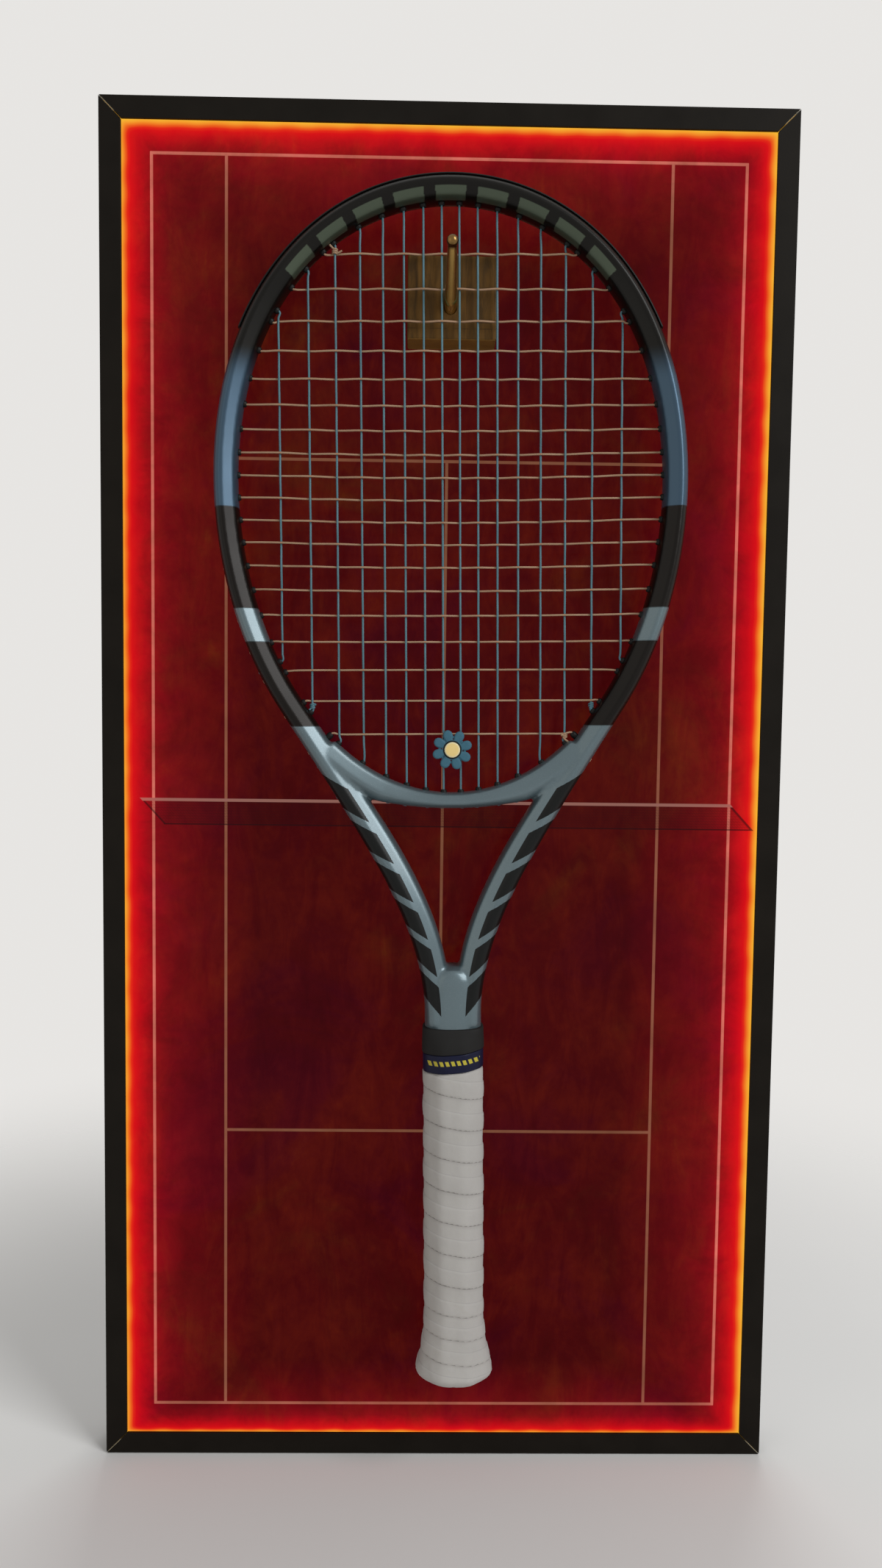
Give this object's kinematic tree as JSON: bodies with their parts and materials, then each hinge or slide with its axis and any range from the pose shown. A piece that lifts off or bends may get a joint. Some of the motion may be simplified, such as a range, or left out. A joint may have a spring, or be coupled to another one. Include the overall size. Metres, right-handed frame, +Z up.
{
  "type": "illuminated racket display frame",
  "caption": "Tall wall-hung light box with a printed clay court, a wooden block and tilted brass peg, and a strung tennis racket hanging from the peg.",
  "frame": {"origin": "centre of the light box's back face, on the wall plane", "axes": "+X to the right for someone facing the display, +Y into the wall, +Z up"},
  "size_m": [0.4, 0.0865, 0.8],
  "materials": {
    "black_frame": "black satin powder coat on extruded aluminium",
    "court_print": "gloss acrylic sheet printed with a clay court, lit through from its edges",
    "back_sheet": "white foamed sheet",
    "bare_aluminium": "mill finish",
    "zinc_steel": "zinc plated",
    "led_tape": "amber silicone-coated light strip",
    "black_plastic": "moulded",
    "red_wire": "twin flex",
    "dark_wood": "dark stained, oiled",
    "plain_wood": "raw pine",
    "brass": "polished",
    "racket_paint": "lacquered graphite in black, blue-grey and silver-blue blocks",
    "black_grommet": "moulded nylon",
    "blue_string": "translucent polyester string",
    "pale_string": "natural coloured string",
    "handle_foam": "moulded foam",
    "white_tape": "soft absorbent grip tape, a little rubbed",
    "black_rubber": "matt",
    "navy_tape": "vinyl tape",
    "teal_rubber": "translucent silicone",
    "cream_rubber": "matt silicone"
  },
  "bodies": {
    "light_box": {"frame_rail_top": "black_frame", "frame_rail_bottom": "black_frame", "frame_rail_left": "black_frame", "frame_rail_right": "black_frame", "court_panel": "court_print", "back_panel": "back_sheet", "hanging_bar": "bare_aluminium", "corner_bracket_top_left": "bare_aluminium", "corner_bracket_top_right": "bare_aluminium", "corner_bracket_bottom_left": "bare_aluminium", "corner_bracket_bottom_right": "bare_aluminium", "led_strip_top": "led_tape", "led_strip_bottom": "led_tape", "led_strip_left": "led_tape", "led_strip_right": "led_tape", "power_socket": "black_plastic", "inlet_lead": "red_wire", "wood_block": "dark_wood", "packing_block": "plain_wood", "block_screw_left": "zinc_steel", "block_screw_right": "zinc_steel", "back_screw_upper_left": "zinc_steel", "back_screw_upper_right": "zinc_steel", "back_screw_lower_left": "zinc_steel", "back_screw_lower_right": "zinc_steel"},
    "peg": {"brass_peg": "brass"},
    "racket": {"racket_frame": "racket_paint", "bumper_guard": "black_grommet", "grommet_strip_left": "black_grommet", "grommet_strip_right": "black_grommet", "grommet_strip_throat": "black_grommet", "main_string": "blue_string", "cross_string": "pale_string", "handle_pallet": "handle_foam", "rubber_collar": "black_rubber", "finishing_band": "navy_tape", "overgrip": "white_tape", "butt_cap": "black_plastic", "butt_door": "black_plastic"},
    "dampener": {"dampener_flower": "teal_rubber", "dampener_disc": "cream_rubber"}
  },
  "joints": [
    {"name": "racket_swing", "type": "hinge", "parent": "light_box", "child": "peg", "pos_m": [0.0006, -0.0525, 0.28297], "axis": [0, -0.8387, 0.5446], "range_deg": [-7, 7]},
    {"name": "racket_lift_off", "type": "slide", "parent": "peg", "child": "racket", "axis": [0, -0.8387, 0.5446], "range_m": [0, 0.07]},
    {"name": "dampener_slide", "type": "slide", "parent": "racket", "child": "dampener", "axis": [-0.0162, 0, 0.9999], "range_m": [-0.011, 0.002]}
  ]
}
